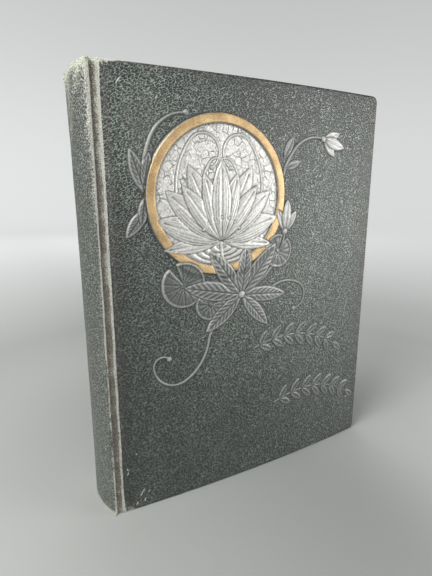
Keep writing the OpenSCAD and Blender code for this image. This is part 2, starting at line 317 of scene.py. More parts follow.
COVER_W = 213.0
ALBUM_H = (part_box("spine_leather")[1].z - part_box("spine_leather")[0].z) / MM
MAP_PITCH = 0.25
RING_CENTRE = np.array([72.0, ALBUM_H - 72.4])
RING_R = 50.0
RING_W = 6.0
BAND_R = RING_R - RING_W / 2
RING_HEIGHT = 1.2
GROUND_HEIGHT = 0.5
LEAF_HEIGHT = 1.0
PETAL_HEIGHT = 1.7
STEM_W = 2.2
STEM_STEP = 0.4
SPRIG_STEM_W = 1.2
LILY_FOOT = (0.0, -28.0)
SPRAY_FOOT = (16.0, -66.0)
BUD_STEM = (SPRAY_FOOT, 20.0, ((60.0, 35.0), (40.0, 30.0)))
UPPER_STEM = ((49.0, 14.0), 75.0, ((40.0, -30.0), (26.0, -60.0)))
CURLING_STEMS = (
    (SPRAY_FOOT, 200.0, ((40.0, 60.0), (34.0, -50.0), (15.0, -120.0), (6.0, -140.0))),
    (SPRAY_FOOT, -20.0, ((30.0, 50.0), (26.0, -60.0), (10.0, -150.0))),
    ((-51.0, 4.0), 95.0, ((60.0, -30.0), (24.0, -66.0))))
LILY_STEM = (LILY_FOOT, -90.0, ((60.0, 22.0), (50.0, 22.0)))
SPRAY = ((168, 44, 13), (128, 40, 12), (-140, 36, 11), (50, 44, 13), (84, 34, 11), (-5, 38, 11),
         (-48, 34, 10))
PADS = (((-27.0, -55.0), 15.0, 120.0, 0.34), ((46.0, -38.0), 12.0, 60.0, 0.4),
        ((-8.0, -70.0), 11.0, 20.0, 0.28))
SIDE_LEAVES = (((-50.0, 2.0), 108.0, 27.0, 8.0), ((-51.0, 6.0), 78.0, 20.0, 7.0),
               ((-49.0, -6.0), 232.0, 22.0, 7.5), ((-50.5, 0.0), 262.0, 17.0, 6.0),
               ((50.0, 18.0), 20.0, 15.0, 5.5), ((49.0, 24.0), 62.0, 17.0, 6.0))
TENDRILS = ((8.0, -27.0, 78.0, ((28.0, 62.0), (46.0, 54.0), (11.0, 200.0)), 1.7),
            (4.0, -20.0, 20.0, ((60.0, -12.0), (26.0, 70.0), (6.0, 230.0)), 1.5))
OUTER_PETALS = ((-6, 40, 10), (18, 46, 16), (40, 49, 16), (64, 52, 16))
FRONT_PETALS = ((52, 44, 12), (74, 44, 12))
MIDDLE_PETAL = (90, 50, 14)
STAMEN_LENGTH = 15.0
STAMEN_R = 0.9
BUD_HEADINGS = (85.0, -15.0)
OPEN_PETAL = (17.0, 6.5)
CLOSED_PETAL = (22.0, 8.0)
OPEN_ANGLE = 30.0
SPRIG_STARTS = ((99.0, 100.0), (119.0, 52.0))
SPRIG_TILT = -8.0
SPRIG_LENGTH = 80.0
SPRIG_R = 1.1 * SPRIG_LENGTH
SPRIG_PAIRS = 7
SPRIG_LEAF = (14.0, 5.4)
SPRIG_ANGLE = 42.0
RIPPLE_STRETCH = 2.1
RIPPLE_W = 2.6
RIPPLE_HEIGHT = 0.28
OUTLINE_W = 0.8
OUTLINE_DEPTH = 0.3
BEAD_R = 1.7

map_u = np.arange(0.0, COVER_W, MAP_PITCH)
map_z = np.arange(0.0, ALBUM_H, MAP_PITCH)
relief, silver, pressed, over_band = (np.zeros((len(map_z), len(map_u))) for _ in range(4))


def map_index(places, line):
    return np.clip(np.asarray(places) / MAP_PITCH, 0, len(line)).astype(int)


def window(centre, reach):
    """The part of the map within reach of a place, and its places measured from there."""
    spot = tuple(slice(*map_index((middle - reach, middle + reach), line))
                 for middle, line in ((centre[1], map_z), (centre[0], map_u)))
    u, z = np.meshgrid(map_u[spot[1]] - centre[0], map_z[spot[0]] - centre[1])
    return spot, u, z


def near(distance, reach):
    """1 at a place, and falling to 0 in a bell round it."""
    return np.exp(-(distance / reach) ** 2)


def fading(distance, reach):
    """1 at a place, and fading away from it."""
    return np.exp(-distance / reach)


def press(spot, inside, height, outside, shine):
    """Lays a shape over what is there, and cuts an outline round it."""
    cut = np.where(inside, 0.0, np.clip(1.0 - outside / OUTLINE_W, 0.0, 1.0))
    relief[spot] = np.where(inside, height, relief[spot] - OUTLINE_DEPTH * cut)
    silver[spot] = np.where(inside, shine, silver[spot])
    pressed[spot] = np.maximum(pressed[spot], inside | (cut > 0))
    over_band[spot] = np.maximum(over_band[spot], inside)


def lift_over_band(spot):
    """How much higher a shape lies where it crosses the raised band."""
    u, z = np.meshgrid(map_u[spot[1]] - RING_CENTRE[0], map_z[spot[0]] - RING_CENTRE[1])
    from_band = np.abs(np.hypot(u, z) - BAND_R) - RING_W / 2
    return 0.85 * near(np.clip(from_band, 0, None), 2.2)


def press_blade(foot, heading, length, width, top, shine, leaf=False, crossing=False):
    """A leaf or petal between two arcs, with a hollow midrib, raised rims and fine veins."""
    spot, u, z = window(foot, length + 3.0)
    a = math.radians(heading)
    along = u * math.cos(a) + z * math.sin(a)
    across = np.abs(z * math.cos(a) - u * math.sin(a))
    r = (length ** 2 + width ** 2) / (4 * width)
    half = np.sqrt(np.clip(r * r - (along - length / 2) ** 2, 0, None)) - (r - width / 2)
    inside = (along > 0) & (along < length) & (across < half)
    share = np.clip(across / np.maximum(half, 0.05), 0, 1)
    reach = np.clip(along / length, 0, 1)
    dome = 0.75 * np.sqrt(1 - share ** 2.5)
    rim = 0.22 * near(half - across - 0.75, 0.45)
    rib = -0.36 * near(across, 0.42) * (along < 0.9 * length)
    # tone paints shade and highlight into the silver: darker towards the foot and in the veins' hollows,
    # lighter towards the rims and tip
    if leaf:
        wave = np.cos(2 * np.pi * (along - 1.4 * across) / max(0.11 * length, 2.4))
        veins = 0.1 * wave * (share < 0.88) * (across > 0.6)
        tone = 0.5 + 0.5 * share ** 2 + 0.18 * wave * (across > 0.6) + 0.25 * reach
    else:
        wave = np.cos(2 * np.pi * share * max(width / 3.6, 1.5))
        veins = 0.1 * wave * np.clip(half / 2.5, 0, 1)
        tone = 0.58 + 0.5 * reach ** 0.8 + 0.14 * share ** 3 + 0.07 * wave
    height = top - 0.6 + 0.8 * dome * np.clip(half / 2.0, 0.35, 1) + rim + rib + veins
    if crossing:
        height = height + lift_over_band(spot)
    beyond = np.maximum(across - half, np.maximum(-along, along - length))
    press(spot, inside, height, beyond, np.clip(shine * tone, 0, 1))


def press_pad(centre, r, heading, top, shine):
    """A round floating leaf, notched to its middle, with veins that run to a turned-up rim."""
    spot, u, z = window(centre, r + 3.0)
    d = np.hypot(u, z)
    around = (np.degrees(np.arctan2(z, u)) - heading + 180) % 360 - 180
    edge = r * (1 - 0.05 * near(around, 16))
    notch = np.abs(around) < 10
    inside = (d < edge) & ~notch
    share = np.clip(d / edge, 0, 1)
    spokes = near(np.abs((around + 12.9) % 25.7 - 12.85) * np.radians(d), 0.42)
    rim = 0.45 * near(edge - d - 0.9, 0.6)
    height = top - 0.3 + 0.3 * np.sin(np.pi * share) - 0.25 * spokes * (share > 0.12) + rim
    # Painted shade in the vein grooves and the middle, and painted highlight towards the turned-up rim
    tone = 0.45 + 0.5 * share ** 2 - 0.25 * spokes
    beyond = np.where(notch & (d < edge), np.abs(d * np.sin(np.radians(10 - np.abs(around)))), d - edge)
    press(spot, inside, height + lift_over_band(spot), beyond, np.clip(shine * tone, 0, 1))


def stem_path(foot, heading, arcs, centre=RING_CENTRE):
    """Points along arcs that run on from one another, each a radius and a turn that is left if positive."""
    place = np.array(centre, float) + foot
    points = [place]
    for r, turn in arcs:
        way = math.copysign(1.0, turn)
        a = math.radians(heading)
        middle = place + r * way * np.array([-math.sin(a), math.cos(a)])
        count = max(int(abs(math.radians(turn)) * r / STEM_STEP), 2)
        for k in range(1, count + 1):
            b = math.radians(heading - 90 * way + turn * k / count)
            points.append(middle + r * np.array([math.cos(b), math.sin(b)]))
        place = points[-1]
        heading += turn
    return np.array(points)


def press_stem(path, width, top, shine, taper=0.6, bead=0.0):
    """A round stem along a path, thinner towards its end, with a bead there if it has one."""
    centre = (path.min(axis=0) + path.max(axis=0)) / 2
    spot, u, z = window(centre, float(np.abs(path - centre).max()) + width + 2)
    nearest, radius = np.full_like(u, np.inf), np.ones_like(u)
    for k in range(0, len(path), 2):
        d = np.hypot(u + centre[0] - path[k][0], z + centre[1] - path[k][1])
        w = width / 2 * (1 - (1 - taper) * k / len(path))
        closer = d - w < nearest
        nearest = np.where(closer, d - w, nearest)
        radius = np.where(closer, w, radius)
    inside = nearest < 0
    round_top = np.sqrt(np.clip(1 - (1 + nearest / radius) ** 2, 0, 1))
    press(spot, inside, np.maximum(relief[spot], top * (0.35 + 0.65 * round_top)), nearest, shine)
    if bead:
        press_bead(path[-1], bead, top + 0.4, shine)


def press_bead(place, r, top, shine):
    spot, u, z = window(place, r + 2)
    d = np.hypot(u, z)
    press(spot, d < r, top * (0.3 + 0.7 * np.sqrt(np.clip(1 - (d / r) ** 2, 0, 1))), d - r, shine)


def from_ring(place):
    return RING_CENTRE + np.array(place)


ring_spot, ring_u, ring_z = window(RING_CENTRE, RING_R + 3)
ring_d = np.hypot(ring_u, ring_z)
on_ground = ring_d < BAND_R
relief[ring_spot] = GROUND_HEIGHT * on_ground
silver[ring_spot] = on_ground

# Ripples of the water under the lily
ripple_d = np.hypot(ring_u / RIPPLE_STRETCH, ring_z - LILY_FOOT[1] + 4)
ripple = on_ground & (ring_z < LILY_FOOT[1] + 3)
eased = np.clip((LILY_FOOT[1] + 3 - ring_z) / 2, 0, 1)
relief[ring_spot] += ripple * RIPPLE_HEIGHT * np.cos(2 * np.pi * ripple_d / RIPPLE_W) * eased
pressed[ring_spot] = ripple

# Whiplash tendrils that rise round the flower and curl in over it
for side in (-1, 1):
    for foot_u, foot_z, lean, arcs, width in TENDRILS:
        arcs = [(r, side * turn) for r, turn in arcs]
        path = stem_path((side * foot_u, foot_z), 90 - side * lean, arcs)
        press_stem(path, width, 0.95, 1.0, 0.55, 1.2)

press_stem(stem_path(*LILY_STEM), STEM_W, LEAF_HEIGHT, 0.9, 0.9)
for stem in CURLING_STEMS:
    press_stem(stem_path(*stem), STEM_W, LEAF_HEIGHT, 0.24, 0.5, BEAD_R)
bud_feet = []
for stem in (BUD_STEM, UPPER_STEM):
    path = stem_path(*stem)
    press_stem(path, STEM_W, LEAF_HEIGHT, 0.28, 0.8)
    bud_feet.append(path[-1])

for foot, heading, length, width in SIDE_LEAVES:
    press_blade(from_ring(foot), heading, length, width, LEAF_HEIGHT - 0.1, 0.34, leaf=True)

# The raised band that carries the gilding, flat on top
band = RING_W / 2 - np.abs(ring_d - BAND_R)
band_height = RING_HEIGHT * np.sqrt(np.clip(1 - (1 - np.clip(band / 0.5, 0, 1)) ** 2, 0, 1))
press(ring_spot, band > 0, band_height, -band, np.where(on_ground, 0.5, 0.15))
over_band[:] = 0.0

# Floating leaves at the band's foot, then the spray over both
for place, r, heading, shine in PADS:
    press_pad(from_ring(place), r, heading, LEAF_HEIGHT, shine)
for heading, length, width in SPRAY:
    press_blade(from_ring(SPRAY_FOOT), heading, length, width, LEAF_HEIGHT, 0.48, leaf=True, crossing=True)
press_bead(from_ring(SPRAY_FOOT), 2.6, 1.4, 0.6)
for petals, top in ((OUTER_PETALS, LEAF_HEIGHT), (FRONT_PETALS, PETAL_HEIGHT)):
    for heading, length, width in petals:
        for way in (heading, 180 - heading):
            press_blade(from_ring(LILY_FOOT), way, length, width, top, 1.0)
press_blade(from_ring(LILY_FOOT), *MIDDLE_PETAL, PETAL_HEIGHT, 1.0)
for way in range(30, 151, 20):
    a = math.radians(way)
    stamen = LILY_FOOT + STAMEN_LENGTH * np.array([math.cos(a), math.sin(a)])
    press_bead(from_ring(stamen), STAMEN_R, 1.9, 1.0)
for foot, heading in zip(bud_feet, BUD_HEADINGS):
    for turn in (-OPEN_ANGLE, OPEN_ANGLE):
        press_blade(foot, heading + turn, *OPEN_PETAL, LEAF_HEIGHT, 0.7)
    press_blade(foot, heading, *CLOSED_PETAL, PETAL_HEIGHT - 0.3, 0.75)
    press_bead(foot, STEM_W, 1.3, 0.6)

half_turn = math.degrees(math.asin(SPRIG_LENGTH / 2 / SPRIG_R))
for start in SPRIG_STARTS:
    path = stem_path((0, 0), half_turn + SPRIG_TILT, ((SPRIG_R, -2 * half_turn),), start)
    press_stem(path, SPRIG_STEM_W, 0.7, 0.12, 0.7)
    for k in range(SPRIG_PAIRS + 1):
        share = (k + 0.5) / (SPRIG_PAIRS + 0.5)
        foot = path[int(share * (len(path) - 1))]
        heading = half_turn + SPRIG_TILT - 2 * half_turn * share
        for side in ((0,) if k == SPRIG_PAIRS else (-1, 1)):
            length = SPRIG_LEAF[0] - 0.5 * abs(k - SPRIG_PAIRS // 2)
            press_blade(foot, heading + SPRIG_ANGLE * side, length, SPRIG_LEAF[1], 0.85, 0.12, leaf=True)


def softened(field, reach):
    """The field averaged over a square of the map, twice."""
    for _ in range(2):
        for axis in (0, 1):
            field = sum(np.roll(field, k, axis) for k in range(-reach, reach + 1)) / (2 * reach + 1)
    return field


# Painted shade darkens the hollows round the relief, and a painted highlight, partly the polish of hands,
# lightens what stands up
recess = (np.clip((softened(relief, 2) - relief) / 0.14, 0, 1)
          + 0.45 * np.clip((softened(relief, 5) - relief) / 0.3, 0, 1))
recess = np.clip(recess, 0, 1) * (softened(pressed, 2) > 0.05)
highlight_weight = 0.3 + 0.7 * np.clip(silver / 0.35, 0, 1)
crest = np.clip((relief - softened(relief, 3)) / 0.16, 0, 1) * pressed * highlight_weight
relief = softened(relief, 1)
over_band = softened(over_band, 1)


# Short scuffs on the front cover, each from a start to an end
SCUFFS = (((10.5, 9), (14.5, 15)), ((8, 3.5), (9, 5.5)), ((13.5, 4), (14.5, 7.5)), ((16, 10.5), (17.8, 12)),
          ((2.6, 27), (4, 30)), ((4, 30), (2.4, 33)), ((9, 41), (9.6, 42.5)), ((205, 20), (206.5, 23)),
          ((199, 33), (203, 36.5)), ((30, 262), (31.5, 264)), ((8, 268), (11, 272)))
SCUFF_R = 0.45
scuffed = np.zeros_like(relief)
for start, end in SCUFFS:
    for share in np.linspace(0, 1, 16):
        place = np.array(start) * (1 - share) + np.array(end) * share
        spot, u, z = window(place, 2.0)
        mark = near(np.hypot(u, z), SCUFF_R) * math.sin(math.pi * (0.15 + 0.7 * share))
        scuffed[spot] = np.maximum(scuffed[spot], mark)


def map_value(field, u, z):
    """The map's value at places in millimetres, eased between its points."""
    column = np.clip(u / MAP_PITCH, 0, len(map_u) - 1.001)
    row = np.clip(z / MAP_PITCH, 0, len(map_z) - 1.001)
    c, r = column.astype(int), row.astype(int)
    fc, fr = column - c, row - r
    return ((field[r, c] * (1 - fc) + field[r, c + 1] * fc) * (1 - fr)
            + (field[r + 1, c] * (1 - fc) + field[r + 1, c + 1] * fc) * fr)


# Leather of the covers: one sheet over each board, rounded over its edges and turned in round three of them.
# On the fourth side it runs over a cord, which makes the rib beside the joint.

LEATHER_T = 1.0
BOARD_T = 2.6
PASTEDOWN_T = 0.6
COVER_T = LEATHER_T + BOARD_T + PASTEDOWN_T
TURN_IN_W = 4.0
CORNER_R = 5.0
EDGE_R = 1.5
INNER_R = 0.7
RIB_R = 1.2
RIB_INSET = 0.9
STRAIGHT_FROM = 2.2
SKIN = 0.02
FACE_DEPTH = 0.01
VALLEY_U = 2.9
VALLEY_DEPTH = 0.45
CELL = 3.8
SPLIT_MARGINS = (2.4, 1.0, 0.3)
COVER_BOW = 4.3
FRONT_Y = -22.5
FORE_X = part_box("front_cover_leather")[1].x / MM
RIB_X = FORE_X - COVER_W
BOW_R = (COVER_W ** 2 / 4 + COVER_BOW ** 2) / (2 * COVER_BOW)
BOW_X = RIB_X + COVER_W / 2
BOW_Y = FRONT_Y - COVER_BOW + BOW_R


def on_cover(u, depth, z, side):
    """Places in metres on a bowed cover, from millimetres across it, into it and up it."""
    x = RIB_X + u
    y = BOW_Y - np.sqrt((BOW_R - depth) ** 2 - (x - BOW_X) ** 2)
    return np.stack([x, -side * y, z], axis=1) * MM


def set_attributes(mesh, low, high, **values):
    """Stores values for each point, kept between two limits."""
    for name, value in values.items():
        attribute = mesh.attributes.new(name, "FLOAT", "POINT")
        attribute.data.foreach_set("value", np.clip(value, low, high).astype(np.float32))


def sheet_lines():
    """The lines of the sheet's grid across and up the cover, closer at its edges, corners and rib."""
    corner = CORNER_R - EDGE_R
    last = COVER_W - EDGE_R
    beside_rib = np.array([0, 0.45, 0.9, 1.5, 2.2, 3.0, 3.9, 5.0, 6.4])
    middle = np.linspace(8.6, last - corner, round((last - corner - 8.6) / CELL) + 1)
    across = np.concatenate([beside_rib, middle, last - corner * np.array([0.75, 0.5, 0.25, 0])])
    edge = corner * np.array([0, 0.25, 0.5, 0.75])
    low, high = EDGE_R + corner, ALBUM_H - EDGE_R - corner
    up = np.linspace(low, high, round((high - low) / CELL) + 1)
    up = np.concatenate([EDGE_R + edge, up, ALBUM_H - EDGE_R - edge[::-1]])
    return across, up


def round_corners(u, z):
    """Moves the grid's square fore-edge corners on to arcs."""
    corner = CORNER_R - EDGE_R
    for low_z in (True, False):
        centre_z = CORNER_R if low_z else ALBUM_H - CORNER_R
        a = np.clip((u - (COVER_W - CORNER_R)) / corner, 0, 1)
        b = np.clip((centre_z - z if low_z else z - centre_z) / corner, 0, 1)
        at_corner = (a > 0) & (b > 0)
        u = np.where(at_corner, COVER_W - CORNER_R + corner * a * np.sqrt(1 - b * b / 2), u)
        moved = corner * b * np.sqrt(1 - a * a / 2)
        z = np.where(at_corner, centre_z - moved if low_z else centre_z + moved, z)
    return u, z


def rim_steps():
    """The sheet's steps round an edge and round the rib, each its reach outwards and its depth."""
    quarter = [math.radians(a) for a in (22.5, 45, 67.5, 90)]
    edge = [(EDGE_R * math.sin(a), EDGE_R * (1 - math.cos(a))) for a in quarter]
    rib = [(RIB_R * math.sin(a), RIB_R * (1 - math.cos(a))) for a in quarter]
    edge += [(EDGE_R, STRAIGHT_FROM), (EDGE_R, COVER_T - INNER_R)]
    rib += [(RIB_R, STRAIGHT_FROM), (RIB_R - 0.1, COVER_T - INNER_R)]
    for a in (30, 60, 90):
        depth = COVER_T - INNER_R * (1 - math.sin(math.radians(a)))
        edge.append((EDGE_R - INNER_R * (1 - math.cos(math.radians(a))), depth))
        rib.append((RIB_R - 0.1 - 0.1 * a / 90, depth))
    under_lining = COVER_T - PASTEDOWN_T + SKIN
    turned_in, on_board, at_rib = EDGE_R - TURN_IN_W, EDGE_R - LEATHER_T + SKIN, RIB_INSET + SKIN
    depths = (COVER_T, under_lining, under_lining, LEATHER_T - SKIN)
    edge += zip((turned_in, turned_in, on_board, on_board), depths)
    rib += zip((at_rib,) * 4, depths)
    return edge, rib


def select_faces(mesh, chosen):
    """Selects the chosen faces, their edges and their corners, and nothing else."""
    mesh.vertices.foreach_set("select", np.zeros(len(mesh.vertices), bool))
    mesh.edges.foreach_set("select", np.zeros(len(mesh.edges), bool))
    mesh.polygons.foreach_set("select", np.asarray(chosen, bool))


def indexed_grid(name, material, columns, rows):
    """A flat grid with a line for each column and row, and the column and row of each of its points."""
    last_column, last_row = len(columns) - 1, len(rows) - 1
    piece, across, up = new_grid(name, material, last_column, last_row)
    return piece, np.rint(across * last_column).astype(int), np.rint(up * last_row).astype(int)


@contextmanager
def edit_mode(everything=True):
    """Edits the active mesh, with all of it selected or with what was selected before."""
    bpy.ops.object.mode_set(mode="EDIT")
    if everything:
        bpy.ops.mesh.select_all(action="SELECT")
    yield
    bpy.ops.object.mode_set(mode="OBJECT")


def turn_outwards():
    bpy.ops.mesh.select_all(action="SELECT")
    bpy.ops.mesh.normals_make_consistent(inside=False)


def cover_sheet(name, material):
    """The leather of one cover as a closed sheet, flat: across, into and up the cover, in millimetres."""
    columns, rows = sheet_lines()
    piece, column, row = indexed_grid(name, material, columns, rows)
    mesh = piece.data
    last_column, last_row = len(columns) - 1, len(rows) - 1
    u, z = round_corners(columns[column], rows[row])
    put_places(mesh, np.stack([u, np.zeros_like(u), z], axis=1))
    at_edge = (column == 0) | (column == last_column) | (row == 0) | (row == last_row)
    edge, rib = rim_steps()

    def out_from(at, step):
        """Where the rim's step puts points that lie on the face's outline."""
        corner_u = np.clip(u[at] - (COVER_W - CORNER_R), 0, None)
        corner_z = z[at] - np.clip(z[at], CORNER_R, ALBUM_H - CORNER_R)
        rounded = (corner_u > 0) & (corner_z != 0)
        length = np.maximum(np.hypot(corner_u, corner_z), 1e-9)
        go_u = np.where(rounded, corner_u / length, column[at] == last_column)
        go_z = np.where(rounded, corner_z / length, 1.0 * (row[at] == last_row) - (row[at] == 0))
        at_rib = column[at] == 0
        on_rib = at_rib & (row[at] > 0) & (row[at] < last_row)
        return np.stack([np.where(at_rib, u[at] - rib[step][0], u[at] + go_u * edge[step][0]),
                         np.where(on_rib, rib[step][1], edge[step][1]),
                         z[at] + go_z * edge[step][0]], axis=1)

    # The sheet's inner face, over the board
    with edit_mode():
        bpy.ops.mesh.select_mode(type="EDGE")
        bpy.ops.mesh.duplicate()
        bpy.ops.mesh.flip_normals()
        bpy.ops.mesh.select_all(action="INVERT")
        bpy.ops.mesh.region_to_loop()
    places = places_of(mesh)
    places[len(u):][at_edge] = out_from(at_edge, -1)
    places[len(u):, 1] = LEATHER_T - SKIN
    put_places(mesh, places)

    # The rim, drawn out of the face's outline step by step
    outline = {i: i for i in np.flatnonzero(at_edge)}
    for step in range(len(edge)):
        with edit_mode(False):
            bpy.ops.mesh.extrude_region_move()
        places = places_of(mesh)
        chosen = np.empty(len(mesh.vertices), bool)
        mesh.vertices.foreach_get("select", chosen)
        drawn_from = {tuple(np.round(places[i], 4)): first for i, first in outline.items()}
        outline = {i: drawn_from[tuple(np.round(places[i], 4))] for i in np.flatnonzero(chosen)}
        places[list(outline)] = out_from(list(outline.values()), step)
        put_places(mesh, places)
    with edit_mode():
        bpy.ops.mesh.remove_doubles(threshold=0.002)
        turn_outwards()
    return piece


def refine(mesh, detail):
    """Splits the face's cells three times where the map holds detail."""
    total = np.zeros((len(map_z) + 1, len(map_u) + 1))
    total[1:, 1:] = np.cumsum(np.cumsum(detail, axis=0), axis=1)
    for margin in SPLIT_MARGINS:
        count = len(mesh.polygons)
        centre, area, corners = np.empty(count * 3), np.empty(count), np.empty(count, int)
        for name, values in (("center", centre), ("area", area), ("loop_total", corners)):
            mesh.polygons.foreach_get(name, values)
        u, depth, z = centre.reshape(-1, 3).T
        reach = np.sqrt(area) / 2 + margin
        left, right = map_index(u - reach, map_u), map_index(u + reach, map_u)
        low, high = map_index(z - reach, map_z), map_index(z + reach, map_z)
        held = total[high, right] - total[low, right] - total[high, left] + total[low, left]
        select_faces(mesh, (held > 0) & (np.abs(depth) < FACE_DEPTH) & (corners == 4))
        with edit_mode(False):
            bpy.ops.mesh.select_mode(type="FACE")
            bpy.ops.mesh.subdivide(number_cuts=1)


def vectors(operation, first, second, output=0):
    """A Vector Math node's result."""
    inputs = {0: first, "Scale" if operation == "SCALE" else 1: second}
    return add_node(first.id_data, "ShaderNodeVectorMath", inputs, operation=operation).outputs[output]


def pushed(place, push, centre, amount):
    """A place moved by a noise's colour, counted from a centre, times an amount."""
    push = vectors("SCALE", vectors("SUBTRACT", push, (centre, centre, centre)), amount)
    return vectors("ADD", place, push)


def cell_walls(place, scale):
    """How far a place is from the walls between random cells."""
    inputs = {"Vector": place, "Scale": scale}
    node = add_node(place.id_data, "ShaderNodeTexVoronoi", inputs, feature="DISTANCE_TO_EDGE")
    return node.outputs["Distance"]


# Pebble grain: Ridge is the light, broken net between the dark pits, Height its relief, and Speck fine dust
# On the covers the net's bright, broken strokes are partly painted highlight, standing for glints on the
# pebbles' ridges
grain_group, given, result = new_group("pebble_grain", {"Vector": None, "Cells": 440.0},
                                       ("Ridge", "Height", "Speck"))
place, cells = given["Vector"], given["Cells"]
push = noise(place, cells, 1.0, 0.5, "Color")
walls = cell_walls(pushed(place, push, 0.5, calculate("DIVIDE", 0.8, cells)), cells)
strength = spread(noise(place, times(cells, 1.7), 0.0), 0.3, 0.66, 0.2, 1.0)
feed(result, {"Ridge": times(spread(walls, 0.14, 0.03), strength),
              "Height": times(spread(walls, 0.32, 0.0), strength),
              "Speck": spread(noise(place, 2600.0, 2.0, 0.7), 0.62, 0.74)})

# Worn turns a rub from 0 to 1 into broken patches: none at 0, scattered at a half, and nearly whole at 1
wear_group, given, result = new_group("rubbed_patches", {"Vector": None, "Rub": 0.0, "Patches": 500.0},
                                      ("Worn",))
patch = noise(given["Vector"], given["Patches"], 5.0, 0.65)
feed(result, {"Worn": spread(minus(plus(patch, given["Rub"]), 1.0), -0.08, 0.1)})

SPECK_GREY = (0.36, 0.37, 0.34)
# Grey that veils the grain where the painted sheen is strongest, partly dust
DUST_AND_SHEEN_GREY = (0.098, 0.096, 0.083)
DULL_SILVER, BRIGHT_SILVER = (0.12, 0.13, 0.122), (0.9, 0.88, 0.85)
CRACK_GREY = (0.11, 0.115, 0.11)
# Painted highlight for the relief's crests, partly polish
HIGHLIGHT_AND_POLISH = (0.62, 0.62, 0.6)
# Painted shade for the hollows round the relief
RECESS_SHADE = (0.03, 0.033, 0.031)
BARE_PIT, BARE_RIDGE = (0.05, 0.042, 0.033), (0.2, 0.165, 0.12)
CORE_SHADE, CORE_CREAM, CORE_GREEN = (0.36, 0.345, 0.29), (0.8, 0.8, 0.73), (0.55, 0.66, 0.47)


def attribute_of(shader, name):
    return add_node(shader.id_data, "ShaderNodeAttribute", attribute_name=name).outputs["Fac"]


def silver_over(shader, place, leather, height, roughness):
    """The pressed cover's colour, height and roughness, with painted sheen and shade and a little dust on
    its grain, and silver on its relief.
    """
    # Painted sheen and shade: the attribute lightens the grain over the middle and darkens it at the edges
    # and lower left
    sheen_and_dust, paint = attribute_of(shader, "dust_and_sheen"), attribute_of(shader, "silver")
    leather = mixed(spread(sheen_and_dust, 1.0, 1.4, 0.0, 0.5), tinted(leather, sheen_and_dust), DUST_AND_SHEEN_GREY)
    walls = cell_walls(pushed(place, noise(place, 240.0, 2.0, output="Color"), 0.0, 0.0024), 215.0)
    uneven = spread(noise(place, 130.0, 2.0), 0.35, 0.6, 0.25, 1.0)
    crack = times(spread(walls, 0.1, 0.015), uneven, attribute_of(shader, "ground"))
    brushed = spread(noise(place, 420.0, 4.0), 0.3, 0.7, 0.8, 1.12)
    bright = tinted(mixed(spread(paint, 0.3, 1.0), DULL_SILVER, BRIGHT_SILVER), brushed)
    bright = mixed(times(crack, 0.85), bright, CRACK_GREY)
    painted = spread(paint, 0.04, 0.4)
    leather = mixed(painted, leather, bright)
    # Painted highlight on the relief's crests, partly rubbed polish, strongest where silvered
    leather = mixed(times(attribute_of(shader, "crest"), 0.6), leather, HIGHLIGHT_AND_POLISH)
    # Painted shade in the hollows round the relief
    leather = mixed(times(attribute_of(shader, "recess"), 0.88), leather, RECESS_SHADE)
    height = times(height, minus(1.0, times(attribute_of(shader, "pressed"), 0.85)))
    feed(shader, {"Metallic": times(paint, 0.25)})
    return leather, minus(height, times(crack, 0.8)), minus(roughness, times(painted, 0.08))


def leather_material(name, pit, ridge, cells, depth, patches, slant=None):
    """Grained leather: dark pits, a lighter net and patches rubbed to the core. A cover's grain slants."""
    shader, material = new_material(name, {"Specular IOR Level": 1.0})
    place = grain_place = object_place(shader)
    if slant:
        turned = {"Vector": place, "Rotation": (0.0, math.radians(slant[0]), 0.0), "Scale": slant[1]}
        grain_place = add_node(shader.id_data, "ShaderNodeMapping", turned, vector_type="TEXTURE").outputs[0]
    grain = placed(grain_group, grain_place, Cells=cells)
    tone = spread(noise(place, 22.0, 2.0), 0.3, 0.7, 0.95, 1.05)
    leather = tinted(mixed(grain["Ridge"], pit, ridge), tone)
    leather = mixed(times(grain["Speck"], 0.3), leather, SPECK_GREY)
    height = grain["Height"]
    roughness = spread(grain["Ridge"], 0.0, 1.0, 0.55, 0.28)
    if slant:
        leather, height, roughness = silver_over(shader, place, leather, height, roughness)
    brown = times(attribute_of(shader, "brown"), spread(noise(place, 700.0), 0.3, 0.6))
    leather = mixed(brown, leather, mixed(grain["Ridge"], BARE_PIT, BARE_RIDGE))
    core = mixed(spread(noise(place, 2600.0), 0.35, 0.65), CORE_SHADE, CORE_CREAM)
    core = mixed(times(attribute_of(shader, "bloom"), 0.75), core, CORE_GREEN)
    worn = placed(wear_group, place, Rub=attribute_of(shader, "rub"), Patches=patches)["Worn"]
    feed(shader, {"Base Color": mixed(worn, leather, core),
                  "Roughness": calculate("ADD", roughness, times(worn, 0.3), clamp=True)})
    bump(shader, height, depth)
    return material


# The light net of the covers' grain is partly painted highlight, for glints on the ridges
cover_leather = leather_material("cover_leather", (0.002, 0.006, 0.004), (0.348, 0.412, 0.363), 580.0,
                                 0.16 * MM, 900.0, slant=(-30.0, (1.35, 1.0, 0.7)))


def waves(s, seed, lengths, sizes):
    """A rough line: waves of some lengths and sizes along s, started by a seed."""
    rng = np.random.default_rng(seed)
    return sum(size * np.sin(2 * np.pi * (s / length + rng.random()))
               for length, size in zip(lengths, sizes))


